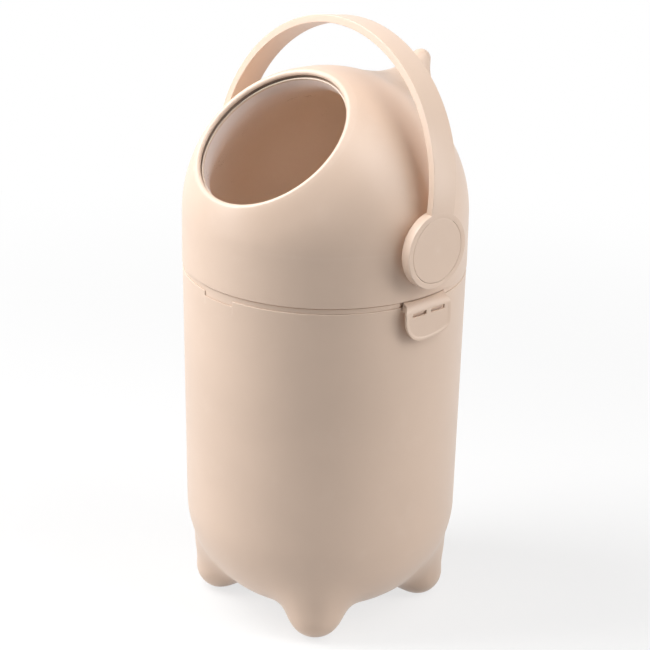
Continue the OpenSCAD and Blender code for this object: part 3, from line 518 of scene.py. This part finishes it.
# ---------------------------------------------------------------- dome with its mouth and nub
def make_dome():
    t = np.linspace(0, 2 * np.pi, 352, endpoint=False)
    # columns crowd together at the back, where the nub is
    around = t + 0.42 * np.cos(t)
    equator = np.stack([np.cos(around), np.sin(around), 0 * around], -1)
    lean = math.radians(90 - MOUTH_ANGLE)
    axis = np.array([0, -math.sin(lean), math.cos(lean)])
    side = np.array([1.0, 0, 0])
    over = np.cross(axis, side)
    ring_radius = MOUTH_RADIUS + LIP_RADIUS
    ring_height = math.sqrt((DOME_RADIUS + 0.1 - LIP_RADIUS) ** 2 - ring_radius ** 2) + LIP_STAND
    ring_reach = math.hypot(ring_radius, ring_height)
    spread = math.atan2(ring_radius, ring_height)
    floor_radius = DOME_RADIUS - LIP_DEPTH
    inner = DOME_RADIUS - DOME_WALL
    circle = np.cos(around)[:, None] * side + np.sin(around)[:, None] * over

    def on_ray(radius, angle):
        """Points at that angle from the mouth's axis and that far from the dome's centre."""
        return circle * (radius * math.sin(angle)) + axis * (radius * math.cos(angle))

    def lip_point(swing):
        """On the rolled lip: swing 0 is its outermost line, growing into the mouth and under."""
        turn = math.radians(swing)
        rho = ring_radius + LIP_RADIUS * math.sin(spread - turn)
        height = ring_height + LIP_RADIUS * math.cos(spread - turn)
        return circle * rho + axis * height

    def outside(p):
        """The crown, rising gently to the lip's height over the last stretch before the mouth."""
        away = (np.arccos(np.clip(p @ axis / np.linalg.norm(p, axis=-1), -1, 1)) - spread) * DOME_RADIUS
        flare = ring_reach + LIP_RADIUS - DOME_RADIUS
        return crown_distance(p) - flare * (0.5 + 0.5 * np.cos(np.pi * np.clip(away / FLARE_WIDTH, 0, 1)))

    mouth_line = circle * math.sin(spread) + axis * math.cos(spread)
    under = math.degrees(math.acos((ring_reach - floor_radius) / LIP_RADIUS))
    half_flat = math.sqrt(LIP_RADIUS ** 2 - (ring_reach - floor_radius) ** 2) / floor_radius
    # from the inside: a flat land, the rolled lip, the crown, the skirt and the inside again
    rows = [on_ray(inner, spread + half_flat + 0.012)]
    for k in range(5):
        rows.append(on_ray(floor_radius, spread + half_flat * (0.9 - 0.4 * k)))
    for swing in np.linspace(180 - under - 1.5, 4, 30):
        rows.append(lip_point(swing))
    lip_rows = len(rows)
    share = np.concatenate([np.linspace(0, 0.10, 24)[:-1], np.linspace(0.10, 1, 140)])
    angle = np.arccos(np.clip((mouth_line * equator).sum(-1), -1, 1))[:, None]
    dirs = []
    for u in share:
        dirs.append((np.sin((1 - u) * angle) * mouth_line + np.sin(u * angle) * equator) / np.sin(angle))
    dirs = unit(np.array(dirs))
    reach = hit(outside, np.zeros(3), dirs, 100, 260)
    outer = dirs * reach[..., None]
    rows += list(outer)
    edge = SKIRT - SKIRT_GROOVE
    for z in np.linspace(-4, -(edge - 0.6), 10):
        rows.append(equator * DOME_RADIUS + np.array([0, 0, z]))
    for r, z in arc((DOME_RADIUS - SKIRT_ROUND, SKIRT_ROUND - edge), SKIRT_ROUND, 0, -90, 4)[1:]:
        rows.append(equator * r + np.array([0, 0, z]))
    for r, z in ((GROOVE_RADIUS, -edge), (SKIRT_FOOT, -SKIRT), (SKIRT_BORE, -SKIRT),
                 (SKIRT_BORE, 4.5 - SKIRT), (inner, 6.5 - SKIRT), (inner, -30.0), (inner, -12.0)):
        rows.append(equator * r + np.array([0, 0, z]))
    flat_edge = spread + half_flat + 0.03
    for d in dirs[::-1][::5]:
        if (np.arccos(np.clip(d @ axis, -1, 1)) > flat_edge).all():
            rows.append(d * inner)
    points = np.array(rows)
    weight = edge_weight(points, True)
    # the lip, all rows after the flat land's six, is rubbed paler
    weight[6:lip_rows + 8] = np.clip(weight[6:lip_rows + 8] + 0.4, 0, 1)
    build = Build("dome")
    build.grid(points + np.array([0, 0, DOME_CENTRE]), wrap_rows=True, flip=True, weight=weight)
    # round seats under the hubs
    for s in (1, -1):
        profile = [(SEAT_RADIUS, SEAT_FACE - 12)]
        profile += arc((SEAT_RADIUS - SEAT_ROUND, SEAT_FACE - SEAT_ROUND), SEAT_ROUND, 0, 90, 4)
        profile += [(SEAT_BORE + 0.1, SEAT_FACE), (SEAT_BORE, SEAT_FACE - 0.2), (SEAT_BORE, SEAT_FACE - 7.3)]
        build.turn(profile, 96, s)
    build.make(shell_paint, "lid", ["dome_shell"], sharp=50)


# ---------------------------------------------------------------- drum, a ball with a round mouth
def smooth_curve(x, xs, ys):
    """A smooth line through the given points (a cubic on each stretch)."""
    k = min(max(int(np.searchsorted(xs, x)) - 1, 0), len(xs) - 2)
    ends = [(max(i - 1, 0), min(i + 1, len(xs) - 1)) for i in (k, k + 1)]
    slope = [(ys[after] - ys[before]) / (xs[after] - xs[before]) for before, after in ends]
    width = xs[k + 1] - xs[k]
    t = (x - xs[k]) / width
    return ((2 * t ** 3 - 3 * t ** 2 + 1) * ys[k] + (t ** 3 - 2 * t ** 2 + t) * width * slope[0]
            + (3 * t ** 2 - 2 * t ** 3) * ys[k + 1] + (t ** 3 - t ** 2) * width * slope[1])


def on_ball(radius, degrees):
    """(radius, height) of a point on a ball, that far from its top."""
    return radius * math.sin(math.radians(degrees)), radius * math.cos(math.radians(degrees))


def make_drum():
    ring = DRUM_MOUTH + DRUM_RIM
    mid = DRUM_RADIUS - DRUM_RIM
    open_angle = math.degrees(math.asin(ring / mid))
    profile = [(0.0, -DRUM_RADIUS)]
    profile += [on_ball(DRUM_RADIUS, q) for q in np.linspace(176, open_angle, 72)]
    centre = on_ball(mid, open_angle)
    profile += arc(centre, DRUM_RIM, 90 - open_angle, 180, 12)[1:]
    # inside, the mouth is a short straight throat that widens softly into the ball
    inner = DRUM_RADIUS - DRUM_WALL
    top = centre[1]
    for d in np.concatenate([np.linspace(0, 30, 31)[1:], np.linspace(30, THROAT_END, 43)[1:]]):
        h = top - d
        profile.append((math.sqrt(inner ** 2 - h * h) - float(smooth_curve(d, THROAT_DEPTH, THROAT_FILL)), h))
    throat_angle = math.degrees(math.acos((top - THROAT_END) / inner))
    profile += [on_ball(inner, q) for q in np.linspace(throat_angle, 176, 40)[1:]]
    profile.append((0.0, -inner))
    tilt = rot_x(90 - MOUTH_ANGLE)
    p = turned(profile, 176) @ tilt[:3, :3].T
    # the inner face swells softly over the shafts' sockets
    reach = np.linalg.norm(p, axis=-1, keepdims=True)
    near = np.degrees(np.arccos(np.clip(np.abs(p[..., :1]) / reach, 0, 1)))
    swell = SWELL * (0.5 + 0.5 * np.cos(np.pi * np.clip(near / SWELL_ANGLE, 0, 1)))
    swell = swell * (reach < DRUM_RADIUS - 0.5)
    p = p * (1 - swell / reach) + np.array([0, 0, PIVOT])
    build = Build("drum")
    build.grid(p)
    high, radius = DRUM_RADIUS + SOCKET_STAND, SOCKET_RADIUS
    low = high - SOCKET_DEPTH
    for s in (1, -1):
        block = [(0.0, low + 0.4), (radius - 0.6, low + 1.0), (radius, low + 1.2)]
        block += arc((radius - 0.4, high - 0.4), 0.4, 0, 90, 3)
        block += [(SOCKET_BORE, high), (SOCKET_BORE, low + 1.2)]
        build.turn(block, 64, s)
    piece = build.make(drum_paint_with_painted_light, "turner", ["drum_ring", "drum_bowl"], sharp=50)
    # painted light: the inside is painted paler near the mouth, standing in for the light and sheen that fall
    # in through it, and keeps the plastic's warmer colour deeper in, which starts sooner at the back right
    points = (np.concatenate(build.points) - np.array([0, 0, PIVOT])) @ tilt[:3, :3]
    x, y, z = points.T
    around = (x + y) / (math.sqrt(2) * np.maximum(np.hypot(x, y), 1.0))
    pale = np.clip(1 - (top - z) / (PAINTED_LIGHT_DEPTH - PAINTED_LIGHT_TURN * around), 0, 1) ** PAINTED_LIGHT_POWER
    pale[np.linalg.norm(points, axis=1) > inner] = 0
    piece.data.attributes.new("pale", "FLOAT", "POINT").data.foreach_set("value", pale.astype(np.float32))


# ---------------------------------------------------------------- handle: arched strap and two hubs
def make_handle():
    corner = 7
    middle = STRAP_OUTER - STRAP_THICKNESS / 2
    lean = rot_x(-HANDLE_LEAN, (0, 0, PIVOT))

    def section(width):
        out = []
        for q in range(4):
            cu = (1 if q in (0, 3) else -1) * (STRAP_THICKNESS / 2 - STRAP_ROUND)
            cv = (1 if q < 2 else -1) * (width / 2 - STRAP_ROUND)
            for k in range(corner + 1):
                a = math.radians(90 * q + 90 * k / corner)
                out.append((cu + STRAP_ROUND * math.cos(a), cv + STRAP_ROUND * math.sin(a)))
        return out

    stations = [(middle, z, 0.0, STRAP_WIDTH) for z in np.linspace(6, ARCH_RISE, 12)[:-1]]
    for a in np.linspace(0, 180, 169):
        s = math.sin(math.radians(a))
        stations.append((middle * math.cos(math.radians(a)), ARCH_RISE + middle * s, math.radians(a),
                         STRAP_WIDTH + (STRAP_TOP_WIDTH - STRAP_WIDTH) * s * s))
    stations += [(-middle, z, math.pi, STRAP_WIDTH) for z in np.linspace(ARCH_RISE, 6, 12)[1:]]
    # near the hubs the strap's outer face lies level with theirs
    level = HUB_FACE - 0.02 - STRAP_OUTER
    push = [level * (1 - min(1, max(0, (z - ARCH_RISE) / 60))) * (1 if x > 0 else -1)
            for x, z, a, w in stations]
    rows = [[(x + d + u * math.cos(a), v, z + u * math.sin(a)) for u, v in section(w)]
            for (x, z, a, w), d in zip(stations, push)]
    p = np.array(rows) @ lean[:3, :3].T + lean[:3, 3]
    build = Build("handle_arch")
    build.grid(p, flip=True, closed=(True, True))
    floor, recess = HUB_FACE - CAP_THICKNESS, CAP_RADIUS + CAP_GAP
    for s in (1, -1):
        profile = [(11.3, HUB_BACK + 4), (11.3, HUB_BACK)]
        profile += arc((HUB_RADIUS - 1.0, HUB_BACK + 1.0), 1.0, -90, 0, 4)
        profile += arc((HUB_RADIUS - HUB_ROUND, HUB_FACE - HUB_ROUND), HUB_ROUND, 0, 90, 10)
        profile += arc((recess + 0.25, HUB_FACE - 0.25), 0.25, 90, 180, 4)
        profile += [(recess, floor), (6.0, floor)]
        build.turn(profile, 128, s)
    build.make(shell_paint, "turner", ["handle"], sharp=38)


def make_cap(side, name, node_name):
    profile = [(0.0, HUB_FACE - CAP_THICKNESS), (CAP_RADIUS, HUB_FACE - CAP_THICKNESS)]
    profile += arc((CAP_RADIUS - 0.35, HUB_FACE - 0.35), 0.35, 0, 90, 5)
    profile += [(r, HUB_FACE) for r in np.linspace(CAP_RADIUS - 2, 0, 14)]
    build = Build(name)
    build.turn(profile, 128, side)
    build.make(shell_paint, "turner", [node_name], sharp=50)


# ---------------------------------------------------------------- side clips
def bow(y):
    """How far the clip's lower edge rises away from its middle."""
    return CLIP_BOW - math.sqrt(CLIP_BOW ** 2 - y * y)


def clip_outline(inset):
    """Counter-clockwise outline of a clip's plate in (y, z), narrower at the hood, bowed below."""
    half, low = CLIP_HALF - inset, CLIP_LOW + inset
    front, rear = CLIP_FRONT_CORNER - inset, CLIP_BACK_CORNER - inset
    top = HOOD_HALF - 1.2 - inset
    neck = arc((-top - 2.6, HOOD_LOW + 4.6), 2.6, 0, -60, 6)
    right = [(-y, z) for y, z in neck[::-1]]
    out = [(top, CLIP_HIGH - inset), (-top, CLIP_HIGH - inset)] + neck
    out += [(-half, HOOD_LOW - 1.5), (-half, HOOD_LOW - 8)]
    out += [(y, z + bow(y)) for y, z in arc((-half + front, low + front), front, 180, 270, 20)]
    out += [(y, low + bow(y)) for y in np.linspace(-half + front + 2, half - rear - 2, 14)]
    out += [(y, z + bow(y)) for y, z in arc((half - rear, low + rear), rear, 270, 360, 16)]
    return out + [(half, HOOD_LOW - 8), (half, HOOD_LOW - 1.5)] + right


def slot_outline(middle, grow):
    """Outline of a slot with round corners, grown by the plate's edge, which takes that much of it again."""
    half, low, high, r = SLOT_WIDTH / 2 + grow, SLOT_HIGH - SLOT_HEIGHT - grow, SLOT_HIGH + grow, SLOT_CORNER
    corners = ((half - r, high - r), (-half + r, high - r), (-half + r, low + r), (half - r, low + r))
    out = []
    for k, corner in enumerate(corners):
        out += arc(corner, r, 90 * k, 90 * k + 90, 4)
    return [(y + middle, z) for y, z in out]


def clip_shape(y, z, depth):
    """Moves a point of the flat plate, depth -1 at its back to 1 at its face, to its place in X."""
    t = min(1.0, max(0.0, (z - HOOD_BEND) / (CLIP_HIGH - HOOD_BEND)))
    rim = math.sqrt(HOOD_RADIUS ** 2 - min(abs(y), HOOD_HALF) ** 2)
    face = CLIP_OUTER - (CLIP_OUTER - rim) * t ** 2.4
    if z < HOOD_LOW - 0.3:
        rear = CLIP_INNER
    elif z < SEAM - 4.3:
        rear = math.sqrt((RIM_RADIUS + 1.0) ** 2 - y * y)
    else:
        rear = math.sqrt((HOOD_RADIUS - HOOD_EDGE) ** 2 - y * y)
    if z <= HOOD_LOW + 2:
        # soft raised border at the sides and the bottom
        dy, dz = CLIP_HALF - abs(y), z - CLIP_LOW - bow(y)
        corner = CLIP_FRONT_CORNER if y < 0 else CLIP_BACK_CORNER
        inset = min(dy, dz)
        if dy < corner and dz < corner:
            inset = corner - math.hypot(corner - dy, corner - dz)
        lift = 1 - min(1, max(0, (inset - BORDER_WIDTH) / BORDER_SLOPE))
        face += BORDER_HEIGHT * lift * lift * (3 - 2 * lift) * min(1, max(0, (HOOD_LOW - z) / 5))
    return rear + (face - rear) * (depth + 1) / 2


def make_clip(side, name, body, node_name):
    """A flat plate with two slots and a hood, from an outline curve with a rounded edge."""
    curve = bpy.data.curves.new(name, "CURVE")
    curve.dimensions = "2D"
    curve.fill_mode = "BOTH"

    def spline(points):
        line = curve.splines.new("POLY")
        line.points.add(len(points) - 1)
        for point, (y, z) in zip(line.points, points):
            point.co = (y * MM, z * MM, 0, 1)
        line.use_cyclic_u = True

    half_depth = (CLIP_OUTER - CLIP_INNER) / 2
    spline(clip_outline(CLIP_EDGE))
    for s in (-1, 1):
        spline(slot_outline(s * (SLOT_SPACE + SLOT_WIDTH) / 2, CLIP_EDGE))
    curve.extrude = (half_depth - CLIP_EDGE) * MM
    curve.bevel_depth = CLIP_EDGE * MM
    curve.bevel_resolution = 3
    source = bpy.data.objects.new(name + "_outline", curve)
    bpy.context.scene.collection.objects.link(source)
    bpy.context.view_layer.update()
    flat = bpy.data.meshes.new_from_object(source.evaluated_get(bpy.context.evaluated_depsgraph_get()))
    bpy.data.objects.remove(source)
    # cut the plate into narrow strips, closest at the hood, so that its face can swell and bend
    work = bmesh.new()
    work.from_mesh(flat)
    bmesh.ops.remove_doubles(work, verts=work.verts, dist=1e-6)
    cuts = [((y * MM, 0, 0), (1, 0, 0)) for y in np.arange(-28.5, 28.6, 1.0)]
    levels = np.concatenate([np.arange(312.5, 340, 1.5), np.arange(340.9, 349.8, 0.45)])
    cuts += [((0, z * MM, 0), (0, 1, 0)) for z in levels]
    for place, normal in cuts:
        geometry = work.verts[:] + work.edges[:] + work.faces[:]
        bmesh.ops.bisect_plane(work, geom=geometry, plane_co=place, plane_no=normal)
    for vert in work.verts:
        y, z, depth = vert.co[0] / MM, vert.co[1] / MM, vert.co[2] / MM / half_depth
        vert.co = (clip_shape(y, z, depth) * MM, y * MM, z * MM)
    bmesh.ops.recalc_face_normals(work, faces=work.faces)
    plate = bpy.data.meshes.new(name + "_plate")
    work.to_mesh(plate)
    work.free()
    # room in the hood for the lug that carries the pin
    room = Build(name + "_room")
    outline = arc((HINGE_X, HINGE_Z), LUG_ROOM, -90, 90, 16)
    outline += [(130.0, HINGE_Z + 9), (125.0, HINGE_Z + 9), (125.0, HINGE_Z - LUG_ROOM)]
    rows = [[(x, y, z) for x, z in outline] for y in (-LUG_HALF, LUG_HALF)]
    room.grid(rows, flip=True, closed=(True, True))
    cutter_mesh = bpy.data.meshes.new(name + "_room")
    cutter_mesh.from_pydata((np.concatenate(room.points) * MM).tolist(), [], room.faces)
    whole = bpy.data.objects.new(name + "_whole", plate)
    cutter = bpy.data.objects.new(name + "_cutter", cutter_mesh)
    for thing in (whole, cutter):
        bpy.context.scene.collection.objects.link(thing)
    cut = whole.modifiers.new("room", "BOOLEAN")
    cut.operation, cut.object, cut.solver = "DIFFERENCE", cutter, "EXACT"
    bpy.context.view_layer.update()
    mesh = bpy.data.meshes.new_from_object(whole.evaluated_get(bpy.context.evaluated_depsgraph_get()))
    for thing in (whole, cutter):
        bpy.data.objects.remove(thing)
    mesh.name = name
    if side < 0:
        mesh.transform(Matrix.Diagonal((-1, 1, 1, 1)))
        mesh.flip_normals()
    mesh.shade_smooth()
    mesh.set_sharp_from_angle(angle=math.radians(42))
    mesh.materials.clear()
    mesh.materials.append(shell_paint)
    piece = bpy.data.objects.new(name, mesh)
    bpy.context.scene.collection.objects.link(piece)
    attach(piece, body)
    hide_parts(node_name)


def make_catches():
    """The low wedges on the bucket that the clips' slots close over."""
    build = Build("catches")
    low, high = SLOT_HIGH - SLOT_HEIGHT + 1.2, SLOT_HIGH - 0.2
    half = SLOT_WIDTH / 2 - 0.9
    profile = [(CATCH_ROOT, low - 8.4), (CATCH_ROOT + 2.7, low - 8.0), (CLIP_INNER - 0.55, low - 0.4),
               (CLIP_INNER - 0.3, low), (CLIP_INNER + 0.42, high - 0.3), (CLIP_INNER + 0.2, high),
               (CATCH_ROOT, high)]
    for side in (1, -1):
        for s in (-1, 1):
            middle = s * (SLOT_SPACE + SLOT_WIDTH) / 2
            rows = [[(side * x, middle + y, z) for x, z in profile] for y in np.linspace(-half, half, 9)]
            build.grid(rows, flip=side > 0, closed=(True, True))
    build.make(shell_paint, "bin", (), sharp=30)


make_bucket()
make_dome()
make_drum()
make_handle()
make_cap(1, "round_cap_right", "hub_cap_right")
make_cap(-1, "round_cap_left", "hub_cap_left")
make_clip(1, "side_clip_right", "latch_right", "clip_right")
make_clip(-1, "side_clip_left", "latch_left", "clip_left")
make_catches()


# ---------------------------------------------------------------- floor and light
floor = bpy.data.objects.new("floor", bpy.data.meshes.new("floor"))
corners = [(x * FLOOR_HALF, y * FLOOR_HALF, 0) for x, y in ((-1, -1), (1, -1), (1, 1), (-1, 1))]
floor.data.from_pydata(corners, [], [(0, 1, 2, 3)])
floor.data.materials.append(floor_paint("pale_floor"))
floor.location.z = -FLOOR_DROP
bpy.context.scene.collection.objects.link(floor)


def studio_lamp(name, side, rise, distance, width, height, power, aim=0.30):
    """A soft box, placed by its angle to the left (-) or right (+) of the camera and its rise, in degrees.
    It looks at the bin's axis, at the height aim."""
    turn, lift = math.radians(CAMERA_SIDE + side), math.radians(rise)
    way = Vector((math.sin(turn) * math.cos(lift), -math.cos(turn) * math.cos(lift), math.sin(lift)))
    target = Vector((0, 0, aim))
    data = bpy.data.lights.new(name, "AREA")
    data.shape = "RECTANGLE"
    data.size, data.size_y = width, height
    data.energy = power
    lamp = bpy.data.objects.new(name, data)
    lamp.location = target + way * distance
    lamp.rotation_euler = (target - lamp.location).to_track_quat("-Z", "Y").to_euler()
    bpy.context.scene.collection.objects.link(lamp)


studio_lamp("left_low_box", -81, 8, 2.2, 0.9, 1.8, 19.5)
studio_lamp("left_box", -90, 40, 2.2, 1.0, 1.2, 24)
studio_lamp("left_top_box", -90, 58, 1.3, 0.7, 0.7, 12, aim=0.45)
studio_lamp("right_low_box", 81, 8, 2.2, 0.9, 1.8, 20)
studio_lamp("right_box", 60, 40, 2.2, 1.0, 1.2, 11)
studio_lamp("right_top_box", 60, 58, 1.3, 0.7, 0.7, 4, aim=0.45)
studio_lamp("front_box", 0, 20, 2.6, 1.4, 1.4, 2.2)
studio_lamp("front_top_box", -35, 62, 1.6, 0.8, 0.8, 2.0, aim=0.45)

world = bpy.data.worlds.new("studio")
world.use_nodes = True
backdrop = world.node_tree.nodes["Background"]
put(world.node_tree, backdrop.inputs[0], (1, 1, 1))
put(world.node_tree, backdrop.inputs[1], seen_directly(world.node_tree))
world.cycles.sampling_method = "NONE"
bpy.context.scene.world = world
bpy.context.scene.view_settings.view_transform = "Standard"
